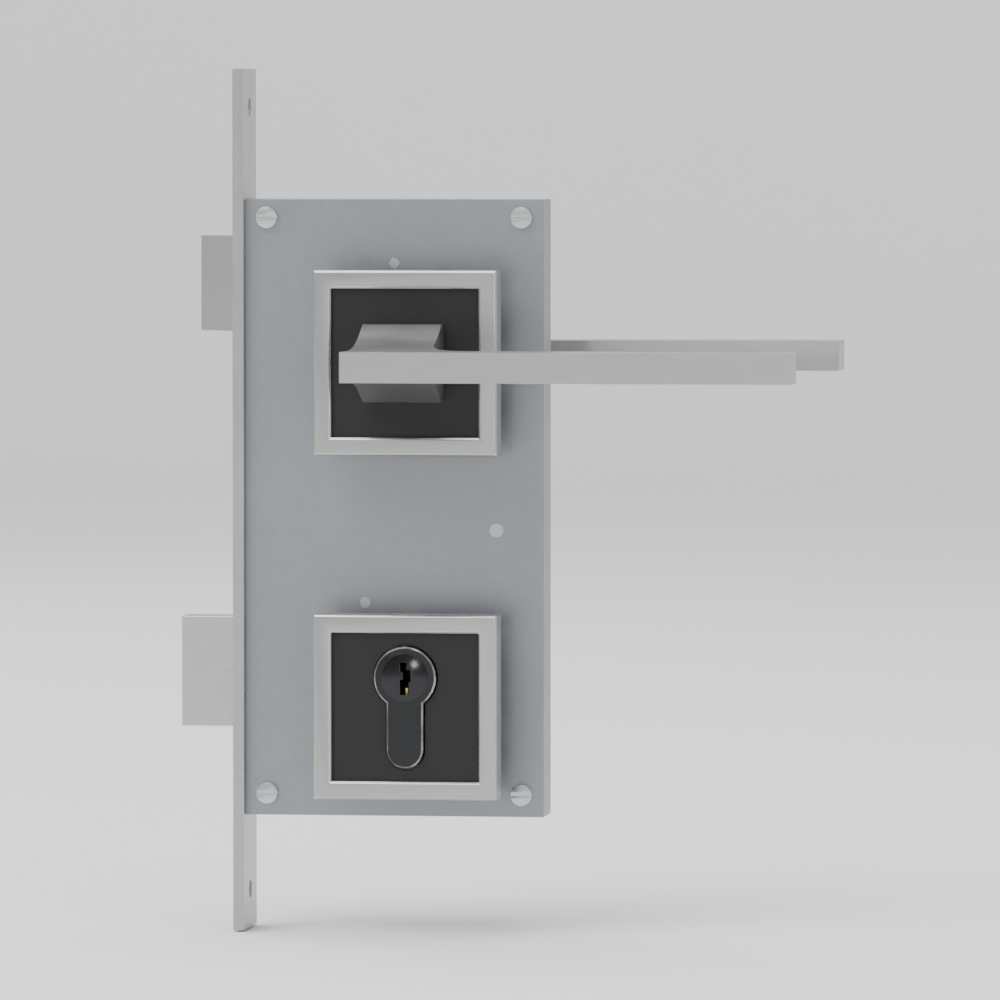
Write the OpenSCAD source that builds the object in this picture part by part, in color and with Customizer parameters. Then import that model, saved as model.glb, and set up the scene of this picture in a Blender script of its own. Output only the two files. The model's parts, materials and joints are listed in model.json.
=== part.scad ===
// Mortise sash lock: lever handles on square roses, a profile cylinder behind square
// escutcheons, and a case with a sprung latch and a deadbolt.
// The forend's outer face is x = 0 and faces -x. The middle of the door is y = 0, its outside
// faces -y, and +z is up. The origin is midway between the two forend screw holes.

/* [Door] */
// Thickness of the door leaf
door_t = 40; // [38:1:44]
// Backset, from the forend's face to the spindle and plug axes
backset = 50; // [50:1:56]
// Distance from the spindle axis down to the plug axis
centres = 85; // [85:1:92]

/* [Roses and escutcheons] */
// Side of the square trim
trim_w = 50; // [50:0.5:54]
// How far the trim stands off the door
trim_out = 10; // [10:0.5:11]
// Width of the bright border
border_w = 5; // [4:0.5:6]
// Depth of the dark insert below the border
insert_sunk = 1.8; // [1.2:0.1:2]
// Chamfer round the trim's outer edge
trim_edge = 0.5; // [0.2:0.1:0.8]

/* [Lever] */
// Reach of the lever from the spindle axis to its tip
lever_reach = 109; // [100:1:125]
// Distance from the door's face to the lever's front
lever_out = 55; // [52:1:60]
// Height of the lever's bar
bar_h = 8.2; // [7:0.2:10]
// Depth of the lever's bar
bar_d = 16; // [12:1:18]
// Height of the neck at the rose
neck_h = 21; // [19:0.5:22]

/* [Lock case] */
// Length of the forend
forend_h = 235; // [230:1:250]
// Width of the forend
forend_w = 22; // [20:1:24]
// Distance between the two forend screw holes
forend_holes = 214; // [208:1:218]
// How far the latch stands out of the forend
latch_out = 11; // [9:0.5:11]
// How far the deadbolt stands out when it is thrown
bolt_out = 15; // [12:0.5:15]

/* [Hidden] */
$fn = 48;

// Small overlap that makes cuts run clean through
over = 0.5;
// Gap between pieces that only pass each other
gap = 0.3;
// Radial clearance of a running fit
run = 0.05;

// Heights of the two axes, with the case's mechanism set out round them
spindle_z = centres - 47;
plug_z = spindle_z - centres;

// Door faces and trim, as distances out from the door's middle
face = door_t / 2;
front = face + trim_out;
lip_back = front - insert_sunk;
insert_t = 2;
insert_back = lip_back - insert_t;
base_front = insert_back - run;
opening_w = trim_w - 2 * border_w;
lip_flare = 0.6;
skirt_t = 1.6;
cavity_w = trim_w - 2 * skirt_t;
insert_w = cavity_w - 0.2;
base_w = cavity_w - 0.6;
fixing_x = 19;

// Profile cylinder
profile_r = 8.5;
web_w = 10;
profile_drop = 24.5;
profile_mid = (profile_drop - profile_r) / 2;
escutcheon_z = plug_z - profile_mid;
cylinder_half = front;
cam_gap = 5;
bridge_drop = 16;
plug_r = 6.5;
plug_end = 4;
plug_proud = 0.4;
cylinder_screw_r = 2.5;
cylinder_screw_z = plug_z - bridge_drop - 4;
cylinder_screw_head = 4.2;

// Lever
neck_left = 11;
neck_right = 10.5;
neck_base = lip_back + gap;
bar_front = face + lever_out;
bar_back = bar_front - bar_d;
bar_half = bar_h / 2;
neck_half = neck_h / 2;
plan_sweep = 12;
taper_end = bar_back + 1;
taper_len = 27;
taper_in = neck_half - bar_half;
taper_r = (taper_len * taper_len + taper_in * taper_in) / (2 * taper_in);
spigot_r = 8;
spigot_end = face + 0.6;
ring_groove_r = 7.2;
ring_r = 9.4;
ring_t = 1;
ring_out = face + 1.3;
bush_r = 10.5;
bush_back = face + 2.6;
grub_r = 2;
grub_out = neck_base + 2.8;
spindle_w = 8;
spindle_half = face + 30;
socket_w = spindle_w + 2 * run;

// Rose bolts and escutcheon screws
bolt_r = 2;
head_r = 3.2;
head_t = 2.1;
sleeve_r = 2.9;
sleeve_end = 10;
wood_r = 1.75;
wood_tip = 3;
wood_end = 8.6;

// Forend and case
forend_t = 3;
plate_t = 1.5;
case_half = 7.5;
inner_half = case_half - plate_t;
case_depth = backset + 32;
case_back = forend_t + case_depth;
case_top = spindle_z + 44;
case_bottom = plug_z - 39;
rivet_r = 1.75;
case_screw_r = 1.6;
post_r = 3;
post_x = [9, case_back - 6];
post_z = [case_bottom + 6, case_top - 5];

// Latch
latch_half = 5.5;
latch_bottom = spindle_z + 8;
latch_top = spindle_z + 34;
latch_back = 13;
tail_bottom = spindle_z + 22.5;
tail_top = spindle_z + 30.5;
tail_end = backset + 12;
follower_arm = 16.5;
finger_r = 3;
arm_lead = 0.7;
latch_travel = latch_out + 0.5;
shoulder_x = backset + finger_r + arm_lead;
shoulder_bottom = spindle_z + 9.6;
latch_pin = [backset - 6, spindle_z + 26.5];
latch_spring_z = spindle_z + 16;
latch_spring_x = [latch_back + 0.2, backset - 11];
guide_r = 1.5;
slot_half = guide_r + 0.2;

// Follower
hub_r = 10;
hub_half = 4;
trunnion_r = 9;
trunnion_half = 7.3;
bush_hole_r = 11;
nose_drop = 14;
follower_spring_x = [backset - 26, backset - finger_r - 0.2];

// Deadbolt
bolt_half = 5.5;
bolt_bottom = plug_z - 15;
bolt_top = plug_z + 15;
bolt_tail_half = 2.5;
cam_reach = 14.7;
bolt_back = backset - cam_reach - 0.8 - bolt_out;
bolt_bar_z = [plug_z + 15.3, plug_z + 23];
tooth_bottom = plug_z + 9;
tooth_left = backset - 12.2 - bolt_out;
tooth_right = backset + 12.2;
bolt_tail_end = case_back - plate_t - bolt_out - 1;
bolt_pin = [backset - 14, plug_z + 19.15];
tumbler_pin = [backset + 22, plug_z + 39];
tumbler_pin_r = 2;
stump = [backset + 6, plug_z + 23.9];
stump_r = 2;
recess_floor = plug_z + 21.5;
recess_x = [stump[0] - bolt_out - stump_r - 0.5, stump[0] + 4];
tumbler_spring_x = backset + 8;
tumbler_spring_z = [plug_z + 31.3, plug_z + 47];

// Cylinder pins
pin_count = 5;
pin_pitch = 3.8;
pin_first = cylinder_half - 5;
pin_r = 1.4;
pin_hole_r = 1.5;
key_pin = [2.2, 6.2];
driver_pin = [6.6, 10.6];
pin_spring = [10.8, 19.8];
chamber_plug = [20, 23.8];
clutch_r = 3;
clutch_half = 6.6;
clutch_bore = clutch_half + 0.3;
keyway_w = 2.4;
keyway_end = plug_end + 4.2;

// Thumb turn on the inside
turn_base = front + plug_proud + gap;
turn_disc_r = 9;
turn_disc_t = 2.5;
turn_out = 17;
turn_w = 7.5;
turn_h = 26;
tang_w = 6;
tang_end = turn_base + 11;

// ---- Shared shapes ----

// Draws children in (across, up, out) at a height on the outside
module on_outside(height) {
    translate([backset, 0, height])
        rotate([90, 0, 0])
            children();
}

// The same on the chosen side of the door
module on_side(inside, height) {
    if (inside) {
        mirror([0, 1, 0])
            on_outside(height)
                children();
    } else {
        on_outside(height)
            children();
    }
}

// Plate between two distances out
module slab(width, low, high) {
    translate([-width / 2, -width / 2, low])
        cube([width, width, high - low]);
}

// Ring between two distances out
module ring(outer, inner, low, high) {
    translate([0, 0, low])
        difference() {
            cylinder(r = outer, h = high - low);
            translate([0, 0, -over])
                cylinder(r = inner, h = high - low + 2 * over);
        }
}

// Round bar along y between two places
module y_pin(place, radius, low, high) {
    translate([place[0], high, place[1]])
        rotate([90, 0, 0])
            cylinder(r = radius, h = high - low);
}

// Box between two corners
module box(low, high) {
    translate(low)
        cube(high - low);
}

// One direction of the chamfered square slab
module chamfer_strip(width, low, high, cut) {
    half = width / 2;
    rotate([90, 0, 0])
        linear_extrude(width, center = true)
            polygon([
                [-half, low], [half, low], [half, high - cut],
                [half - cut, high], [cut - half, high], [-half, high - cut]
            ]);
}

// Square slab with its outer front edges chamfered
module chamfered_slab(width, low, high, cut) {
    intersection() {
        chamfer_strip(width, low, high, cut);
        rotate([0, 0, 90])
            chamfer_strip(width, low, high, cut);
    }
}

// One direction of the flared square opening
module flare_strip(width, low, high, flare) {
    half = width / 2;
    wide = half + flare;
    rotate([90, 0, 0])
        linear_extrude(2 * wide, center = true)
            polygon([
                [-half, low], [half, low], [half, high - flare],
                [wide, high], [wide, high + over], [-wide, high + over],
                [-wide, high], [-half, high - flare]
            ]);
}

// Square opening whose mouth is bevelled
module flared_opening(width, low, high, flare) {
    intersection() {
        flare_strip(width, low, high, flare);
        rotate([0, 0, 90])
            flare_strip(width, low, high, flare);
    }
}

// Outline of the profile cylinder, with its plug axis at the origin
module profile_2d(extra = 0) {
    circle(r = profile_r + extra);
    translate([-web_w / 2 - extra, web_w / 2 - profile_drop])
        square([web_w + 2 * extra, profile_drop - web_w / 2]);
    translate([0, web_w / 2 - profile_drop])
        circle(r = web_w / 2 + extra);
}

// Open ring that snaps into a groove
module snap_ring(outer, inner, low, high, mouth) {
    difference() {
        ring(outer, inner, low, high);
        translate([-mouth / 2, 0, low - over])
            cube([mouth, outer + over, high - low + 2 * over]);
    }
}

// One point of a coil's surface: ring i of n, side j of m
function coil_point(radius, wire, length, turns, n, m, i, j) =
    let (
        along = i / n,
        turn = 360 * turns * along,
        side = 360 * j / m,
        out = radius + wire * cos(side)
    )
    [
        out * cos(turn),
        out * sin(turn),
        wire + (length - 2 * wire) * along + wire * sin(side)
    ];

// Coil spring that stands along z from 0 to its length
module coil(radius, wire, length, turns, steps = 14, sides = 6) {
    n = turns * steps;
    points = [
        for (i = [0:n])
            for (j = [0:sides - 1])
                coil_point(radius, wire, length, turns, n, sides, i, j)
    ];
    walls = [
        for (i = [0:n - 1])
            for (j = [0:sides - 1])
                let (
                    here = i * sides + j,
                    beside = i * sides + (j + 1) % sides
                )
                each [
                    [here, beside, beside + sides],
                    [here, beside + sides, here + sides]
                ]
    ];
    start = [for (j = [0:sides - 1]) sides - 1 - j];
    end = [for (j = [0:sides - 1]) n * sides + j];
    polyhedron(points, concat(walls, [start], [end]), convexity = 10);
}

// ---- Trim on the door's two faces ----

module trim_frame(inside, height) {
    color("silver")
        on_side(inside, height)
            difference() {
                chamfered_slab(trim_w, face, front, trim_edge);
                slab(cavity_w, face - over, lip_back);
                flared_opening(opening_w, lip_back - over, front, lip_flare);
            }
}

module rose_insert(inside) {
    color("dimgray")
        on_side(inside, spindle_z)
            difference() {
                slab(insert_w, insert_back, lip_back);
                cylinder(r = spigot_r + 0.5, h = 2 * front);
            }
}

module rose_base(inside) {
    hold_r = inside ? bolt_r + 0.1 : sleeve_r + 0.1;
    color("darkgray")
        on_side(inside, spindle_z)
            difference() {
                slab(base_w, face, base_front);
                cylinder(r = bush_r, h = 2 * front);
                for (x = [-fixing_x, fixing_x]) {
                    translate([x, 0, 0])
                        cylinder(r = hold_r, h = 2 * front);
                    translate([x, 0, base_front - head_t])
                        cylinder(r = head_r + 0.1, h = head_t + over);
                }
            }
}

module lever_bush(inside) {
    color("white")
        on_side(inside, spindle_z)
            ring(bush_r - 0.02, spigot_r + run, bush_back, base_front);
}

module escutcheon_insert(inside) {
    color("dimgray")
        on_side(inside, escutcheon_z)
            difference() {
                slab(insert_w, insert_back, lip_back);
                translate([0, profile_mid, 0])
                    linear_extrude(2 * front)
                        profile_2d(gap);
            }
}

module escutcheon_base(inside) {
    color("darkgray")
        on_side(inside, escutcheon_z)
            difference() {
                slab(base_w, face, base_front);
                translate([0, profile_mid, 0])
                    linear_extrude(2 * front)
                        profile_2d(1);
                for (x = [-fixing_x, fixing_x]) {
                    translate([x, 0, 0])
                        cylinder(r = wood_r + 0.1, h = 2 * front);
                    translate([x, 0, base_front - head_t])
                        cylinder(r = head_r + 0.1, h = head_t + over);
                }
            }
}

module escutcheon_screws(inside) {
    color("lightgray")
        on_side(inside, escutcheon_z)
            for (x = [-fixing_x, fixing_x])
                translate([x, 0, 0])
                    wood_screw();
}

// Wood screw with a slotted pan head, its point towards the door's middle
module wood_screw() {
    difference() {
        union() {
            translate([0, 0, wood_end])
                cylinder(r1 = 0.3, r2 = wood_r, h = wood_tip);
            translate([0, 0, wood_end + wood_tip])
                cylinder(r = wood_r, h = base_front - head_t - wood_end - wood_tip);
            translate([0, 0, base_front - head_t])
                cylinder(r = head_r, h = head_t - 0.2);
        }
        box([-head_r, -0.4, base_front - 1.2], [head_r, 0.4, base_front + over]);
    }
}

// ---- Levers and what turns with them ----

// Lever seen from above: the neck, the bar, and the sweep between them
module lever_plan() {
    rotate([90, 0, 0])
        linear_extrude(neck_h + 2, center = true)
            union() {
                translate([-neck_left, neck_base])
                    square([neck_left + neck_right, bar_front - neck_base]);
                translate([-neck_left, bar_back])
                    square([neck_left + lever_reach, bar_d]);
                difference() {
                    translate([neck_right, bar_back - plan_sweep])
                        square(plan_sweep);
                    translate([neck_right + plan_sweep, bar_back - plan_sweep])
                        circle(r = plan_sweep);
                }
            }
}

// Lever seen from its end: the neck tapers in a hollow curve to the bar's height
module lever_side() {
    translate([-neck_left - 1, 0, 0])
        rotate([90, 0, 90])
            linear_extrude(neck_left + lever_reach + 2)
                difference() {
                    translate([-neck_half, neck_base])
                        square([neck_h, bar_front - neck_base]);
                    for (way = [0, 1])
                        mirror([way, 0]) {
                            translate([bar_half + taper_r, taper_end])
                                circle(r = taper_r, $fn = 240);
                            translate([bar_half, taper_end])
                                square([neck_half, bar_d]);
                        }
                }
}

module lever(inside) {
    color("silver")
        on_side(inside, spindle_z)
            difference() {
                union() {
                    intersection() {
                        lever_plan();
                        lever_side();
                    }
                    translate([0, 0, spigot_end])
                        cylinder(r = spigot_r, h = neck_base + 1 - spigot_end);
                }
                ring(spigot_r + over, ring_groove_r, ring_out - 0.1, ring_out + ring_t + 0.1);
                slab(socket_w, face - over, spindle_half + 1);
                translate([0, 0, grub_out])
                    rotate([90, 0, 0])
                        cylinder(r = grub_r, h = neck_h);
            }
}

module lever_ring(inside) {
    color("darkgray")
        on_side(inside, spindle_z)
            snap_ring(ring_r, ring_groove_r + run, ring_out, ring_out + ring_t, 8);
}

module lever_grub(inside) {
    color("gray")
        on_side(inside, spindle_z)
            translate([0, -spindle_w / 2 - run, grub_out])
                rotate([90, 0, 0])
                    difference() {
                        cylinder(r = grub_r - 0.02, h = 5);
                        translate([0, 0, 3])
                            cylinder(r = 1.15, h = 3, $fn = 6);
                    }
}

module spindle() {
    color("slategray")
        translate([backset, 0, spindle_z])
            cube([spindle_w, 2 * spindle_half, spindle_w], center = true);
}

module rose_bolts() {
    color("lightgray")
        on_side(true, spindle_z)
            for (x = [-fixing_x, fixing_x])
                translate([x, 0, 0])
                    difference() {
                        union() {
                            translate([0, 0, -sleeve_end - 8])
                                cylinder(r = bolt_r, h = base_front - head_t + sleeve_end + 8);
                            translate([0, 0, base_front - head_t])
                                cylinder(r = head_r, h = head_t - 0.2);
                        }
                        box([-head_r, -0.5, base_front - 1.2], [head_r, 0.5, base_front + over]);
                    }
}

module rose_sleeves() {
    color("lightgray")
        on_side(false, spindle_z)
            for (x = [-fixing_x, fixing_x])
                translate([x, 0, 0])
                    difference() {
                        union() {
                            translate([0, 0, sleeve_end])
                                cylinder(r = sleeve_r, h = base_front - head_t - sleeve_end);
                            translate([0, 0, base_front - head_t])
                                cylinder(r = head_r, h = head_t - 0.2);
                        }
                        translate([0, 0, sleeve_end - over])
                            cylinder(r = bolt_r + 0.02, h = 10 + over);
                        box([-head_r, -0.5, base_front - 1.2], [head_r, 0.5, base_front + over]);
                    }
}

// ---- Forend and case ----

// Holes that the latch, the deadbolt and the cylinder screw pass through
module front_openings(low, high) {
    box([low, -latch_half - gap, latch_bottom - gap], [high, latch_half + gap, latch_top + gap]);
    box([low, -bolt_half - gap, bolt_bottom - gap], [high, bolt_half + gap, bolt_top + gap]);
}

module x_hole(height, radius, low, high) {
    translate([low, 0, height])
        rotate([0, 90, 0])
            cylinder(r = radius, h = high - low);
}

// Countersink that narrows from the forend's face
module x_sink(height, mouth_r, hole_r, depth) {
    translate([-0.01, 0, height])
        rotate([0, 90, 0])
            cylinder(r1 = mouth_r, r2 = hole_r, h = depth);
}

module forend() {
    color("silver")
        difference() {
            box([0, -forend_w / 2, -forend_h / 2], [forend_t, forend_w / 2, forend_h / 2]);
            front_openings(-over, forend_t + over);
            for (z = [-forend_holes / 2, forend_holes / 2]) {
                x_hole(z, 2.4, -over, forend_t + over);
                x_sink(z, 4.4, 2.4, 2);
            }
            for (z = post_z) {
                x_hole(z, rivet_r, -over, forend_t + over);
                x_sink(z, rivet_r + 1.3, rivet_r, 1.3);
            }
            x_hole(cylinder_screw_z, cylinder_screw_r + 0.2, -over, forend_t + over);
            x_sink(cylinder_screw_z, cylinder_screw_head + 0.1, cylinder_screw_r + 0.2, 1.7);
        }
}

module forend_rivets() {
    color("lightgray")
        for (z = post_z) {
            x_hole(z, rivet_r - 0.02, 0, forend_t + plate_t + 0.6);
            x_sink(z, rivet_r + 1.25, rivet_r - 0.02, 1.27);
        }
}

// Everything that goes through both case plates
module plate_holes() {
    on_outside(spindle_z) {
        cylinder(r = bush_hole_r, h = 4 * case_half, center = true);
        for (x = [-fixing_x, fixing_x])
            translate([x, 0, 0])
                cylinder(r = sleeve_r + 0.3, h = 4 * case_half, center = true);
    }
    on_outside(plug_z)
        linear_extrude(4 * case_half, center = true)
            profile_2d(0.4);
    for (pin = [latch_pin, bolt_pin])
        y_pin(pin, guide_r + 0.02, -2 * case_half, 2 * case_half);
    y_pin(tumbler_pin, tumbler_pin_r + 0.02, -2 * case_half, 2 * case_half);
}

module case_body() {
    color("lightsteelblue")
        difference() {
            union() {
                difference() {
                    box([forend_t, -inner_half, case_bottom], [case_back, case_half, case_top]);
                    box(
                        [forend_t + plate_t, -case_half, case_bottom + plate_t],
                        [case_back - plate_t, inner_half, case_top - plate_t]
                    );
                }
                for (x = post_x)
                    for (z = post_z)
                        y_pin([x, z], post_r, -inner_half, inner_half + over);
                spring_stops();
            }
            for (x = post_x)
                for (z = post_z)
                    y_pin([x, z], case_screw_r + 0.02, -case_half, 2);
            front_openings(0, forend_t + plate_t + over);
            for (z = post_z)
                x_hole(z, rivet_r, 0, forend_t + plate_t + 0.7);
            x_hole(cylinder_screw_z, cylinder_screw_r + 0.5, 0, forend_t + plate_t + over);
            plate_holes();
        }
}

// Blocks that the three case springs push against
module spring_stops() {
    box(
        [latch_spring_x[1], -inner_half, latch_spring_z - 5],
        [latch_spring_x[1] + 3, inner_half + over, latch_spring_z + 5]
    );
    box(
        [follower_spring_x[0] - 4, -inner_half, spindle_z - nose_drop - 4],
        [follower_spring_x[0], inner_half + over, spindle_z - nose_drop + 4]
    );
    box(
        [tumbler_spring_x - 4, -inner_half, tumbler_spring_z[1]],
        [tumbler_spring_x + 4, inner_half + over, tumbler_spring_z[1] + 3]
    );
}

module case_cover() {
    color("lightsteelblue")
        difference() {
            box([forend_t, -case_half, case_bottom], [case_back, -inner_half, case_top]);
            for (x = post_x)
                for (z = post_z)
                    y_pin([x, z], case_screw_r + 0.1, -2 * case_half, 0);
            plate_holes();
        }
}

module case_screws() {
    color("gray")
        for (x = post_x)
            for (z = post_z) {
                y_pin([x, z], case_screw_r, -case_half, 1.5);
                difference() {
                    y_pin([x, z], 2.9, -case_half - 1.6, -case_half);
                    box(
                        [x - 3, -case_half - 2, z - 0.4],
                        [x + 3, -case_half - 0.9, z + 0.4]
                    );
                }
            }
}

module guide_pins() {
    color("gainsboro") {
        y_pin(latch_pin, guide_r, -case_half, case_half);
        y_pin(bolt_pin, guide_r, -case_half, case_half);
        y_pin(tumbler_pin, tumbler_pin_r, -case_half, case_half);
    }
}

// ---- Latch and follower ----

// Slot that lets a tail slide over its guide pin
module guide_slot(pin, travel, half) {
    for (x = [pin[0] - travel, pin[0]])
        y_pin([x, pin[1]], slot_half, -half - over, half + over);
    box(
        [pin[0] - travel, -half - over, pin[1] - slot_half],
        [pin[0], half + over, pin[1] + slot_half]
    );
}

module latch_bolt() {
    color("gainsboro")
        difference() {
            union() {
                translate([0, 0, latch_bottom])
                    linear_extrude(latch_top - latch_bottom)
                        polygon([
                            [-latch_out, latch_half], [-latch_out, latch_half - 2],
                            [-0.5, -latch_half], [latch_back, -latch_half],
                            [latch_back, latch_half]
                        ]);
                box([latch_back - 1, -2, tail_bottom], [tail_end, 2, tail_top]);
                box([shoulder_x, -hub_half, shoulder_bottom], [tail_end, hub_half, tail_top]);
            }
            guide_slot(latch_pin, latch_travel, 2);
        }
}

module latch_spring() {
    color("dimgray")
        translate([latch_spring_x[0], 0, latch_spring_z])
            rotate([0, 90, 0])
                coil(3, 0.5, latch_spring_x[1] - latch_spring_x[0] - 0.1, 7);
}

// Finger that points up the follower's local y, with a round end
module finger(length) {
    translate([-finger_r, 0, -hub_half])
        cube([2 * finger_r, length, 2 * hub_half]);
    translate([0, length, 0])
        cylinder(r = finger_r, h = 2 * hub_half, center = true);
}

module follower() {
    color("goldenrod")
        on_outside(spindle_z)
            difference() {
                union() {
                    cylinder(r = hub_r, h = 2 * hub_half, center = true);
                    cylinder(r = trunnion_r, h = 2 * trunnion_half, center = true);
                    finger(follower_arm);
                    mirror([0, 1, 0])
                        finger(nose_drop);
                }
                cube([socket_w, socket_w, 4 * case_half], center = true);
            }
}

module follower_bushes() {
    color("white")
        for (inside = [false, true])
            on_side(inside, spindle_z)
                ring(bush_hole_r - 0.02, trunnion_r + run, inner_half - 1, case_half);
}

module follower_spring() {
    color("dimgray")
        translate([follower_spring_x[0] + 0.1, 0, spindle_z - nose_drop])
            rotate([0, 90, 0])
                coil(2.8, 0.5, follower_spring_x[1] - follower_spring_x[0] - 0.1, 7);
}

// ---- Deadbolt and tumbler ----

module deadbolt() {
    color("gainsboro")
        difference() {
            union() {
                box([-bolt_out, -bolt_half, bolt_bottom], [bolt_back, bolt_half, bolt_top]);
                box(
                    [bolt_back - 12, -bolt_tail_half, bolt_bar_z[0] - 2],
                    [bolt_back, bolt_tail_half, bolt_bar_z[1]]
                );
                box(
                    [bolt_back - 12, -bolt_tail_half, bolt_bar_z[0]],
                    [bolt_tail_end, bolt_tail_half, bolt_bar_z[1]]
                );
                box(
                    [bolt_back - 1, -bolt_tail_half, tooth_bottom],
                    [tooth_left, bolt_tail_half, bolt_bar_z[1]]
                );
                box(
                    [tooth_right, -bolt_tail_half, tooth_bottom],
                    [bolt_tail_end, bolt_tail_half, bolt_bar_z[1]]
                );
            }
            guide_slot(bolt_pin, bolt_out, bolt_half);
            box(
                [recess_x[0], -bolt_half, recess_floor],
                [recess_x[1], bolt_half, bolt_bar_z[1] + over]
            );
        }
}

module bolt_tumbler() {
    reach = [stump[0] - tumbler_pin[0], stump[1] - tumbler_pin[1]];
    color("peru")
        difference() {
            union() {
                y_pin(tumbler_pin, 4.5, -bolt_tail_half, bolt_tail_half);
                y_pin(stump, stump_r, -bolt_tail_half, bolt_tail_half);
                translate([tumbler_pin[0], 0, tumbler_pin[1]])
                    rotate([0, -atan2(reach[1], reach[0]), 0])
                        translate([0, -bolt_tail_half, -stump_r])
                            cube([norm(reach), 2 * bolt_tail_half, 2 * stump_r]);
                box(
                    [tumbler_spring_x - 3, -bolt_tail_half, tumbler_spring_z[0] - 4],
                    [tumbler_spring_x + 3, bolt_tail_half, tumbler_spring_z[0] - 0.2]
                );
            }
            y_pin(tumbler_pin, tumbler_pin_r + run, -case_half, case_half);
        }
}

module tumbler_spring() {
    color("dimgray")
        translate([tumbler_spring_x, 0, tumbler_spring_z[0]])
            coil(2, 0.4, tumbler_spring_z[1] - tumbler_spring_z[0] - 0.1, 6);
}

// ---- Profile cylinder ----

module cylinder_body() {
    color("silver")
        on_outside(plug_z)
            difference() {
                linear_extrude(2 * cylinder_half, center = true)
                    profile_2d();
                cylinder(r = plug_r, h = 4 * cylinder_half, center = true);
                translate([-2 * profile_r, -bridge_drop, -cam_gap])
                    cube([4 * profile_r, 4 * profile_r, 2 * cam_gap]);
                translate([0, cylinder_screw_z - plug_z, 0])
                    rotate([0, 90, 0])
                        cylinder(r = cylinder_screw_r, h = 4 * profile_r, center = true);
                pin_row()
                    rotate([90, 0, 0])
                        cylinder(r = pin_hole_r, h = profile_drop + 1);
            }
}

// One child at each pin's place along the outer half
module pin_row() {
    for (i = [0:pin_count - 1])
        translate([0, 0, pin_first - i * pin_pitch])
            children();
}

// Round bar that points down from the plug axis, between two distances
module down_pin(span, radius) {
    translate([0, -span[0], 0])
        rotate([90, 0, 0])
            cylinder(r = radius, h = span[1] - span[0]);
}

// Groove for the clip at a plug's inner end
module clip_groove() {
    ring(plug_r + over, 5.85, plug_end + 0.1, plug_end + 0.9);
}

module outer_plug() {
    color("gainsboro")
        on_outside(plug_z)
            difference() {
                translate([0, 0, plug_end])
                    cylinder(r = plug_r - run, h = cylinder_half + plug_proud - plug_end);
                clip_groove();
                translate([0, 0, plug_end - over])
                    cylinder(r = clutch_r + run, h = clutch_bore + over - plug_end);
                box([-keyway_w / 2, -4.6, keyway_end], [keyway_w / 2, -0.4, front + 2]);
                box([-0.4, -1, keyway_end], [keyway_w / 2 + 0.5, 2.2, front + 2]);
                box([-keyway_w / 2, 1.6, keyway_end], [0.6, 4.2, front + 2]);
                pin_row()
                    down_pin([0.5, plug_r + 1], pin_r + 0.05);
            }
}

module key_pins() {
    color("goldenrod")
        on_outside(plug_z)
            pin_row()
                down_pin(key_pin, pin_r);
}

module driver_pins() {
    color("lightgray")
        on_outside(plug_z)
            pin_row()
                down_pin(driver_pin, pin_r);
}

module pin_springs() {
    color("dimgray")
        on_outside(plug_z)
            pin_row()
                translate([0, -pin_spring[1], 0])
                    rotate([-90, 0, 0])
                        coil(1.05, 0.2, pin_spring[1] - pin_spring[0], 5, 10, 5);
}

module chamber_plugs() {
    color("goldenrod")
        on_outside(plug_z)
            pin_row()
                down_pin(chamber_plug, pin_hole_r - 0.02);
}

module inner_plug() {
    color("gainsboro")
        on_side(true, plug_z)
            difference() {
                union() {
                    translate([0, 0, plug_end])
                        cylinder(r = plug_r - run, h = cylinder_half + plug_proud - plug_end);
                    slab(tang_w, front, tang_end);
                }
                clip_groove();
                translate([0, 0, plug_end - over])
                    cylinder(r = clutch_r + run, h = clutch_bore + over - plug_end);
            }
}

module cam_clutch() {
    color("darkgray")
        on_outside(plug_z)
            cylinder(r = clutch_r, h = 2 * clutch_half, center = true);
}

module cylinder_cam() {
    cam_half = plug_end - 0.2;
    color("gray")
        on_outside(plug_z)
            difference() {
                union() {
                    cylinder(r = profile_r - 0.2, h = 2 * cam_half, center = true);
                    intersection() {
                        translate([-3.6, -cam_reach - 1, -cam_half])
                            cube([7.2, cam_reach, 2 * cam_half]);
                        cylinder(r = cam_reach, h = 2 * cam_half, center = true);
                    }
                }
                cylinder(r = clutch_r + 0.02, h = 4 * cam_half, center = true);
            }
}

module plug_clip(inside) {
    color("dimgray")
        on_side(inside, plug_z)
            snap_ring(7.9, 5.87, plug_end + 0.15, plug_end + 0.85, 5);
}

module cylinder_screw() {
    slot_d = 0.9;
    color("gainsboro")
        difference() {
            union() {
                x_hole(cylinder_screw_z, cylinder_screw_r - 0.02, 0, backset + 4);
                x_sink(cylinder_screw_z, cylinder_screw_head, cylinder_screw_r - 0.02, 1.68);
            }
            box(
                [-over, -cylinder_screw_head, cylinder_screw_z - 0.5],
                [slot_d, cylinder_screw_head, cylinder_screw_z + 0.5]
            );
        }
}

// ---- Thumb turn ----

module thumb_turn() {
    grip_low = turn_base + turn_disc_t - 0.5;
    color("silver")
        on_side(true, plug_z)
            difference() {
                union() {
                    translate([0, 0, turn_base])
                        cylinder(r = turn_disc_r, h = turn_disc_t);
                    box(
                        [-turn_w / 2, -turn_h / 2, grip_low],
                        [turn_w / 2, turn_h / 2, turn_base + turn_out]
                    );
                    translate([0, 0, turn_base])
                        cylinder(r = 6.6, h = turn_out - 4);
                }
                slab(tang_w + 2 * run, front, tang_end + 0.4);
                translate([0, 0, turn_base + 6])
                    rotate([0, 90, 0])
                        cylinder(r = 1.5, h = 10);
            }
}

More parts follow.
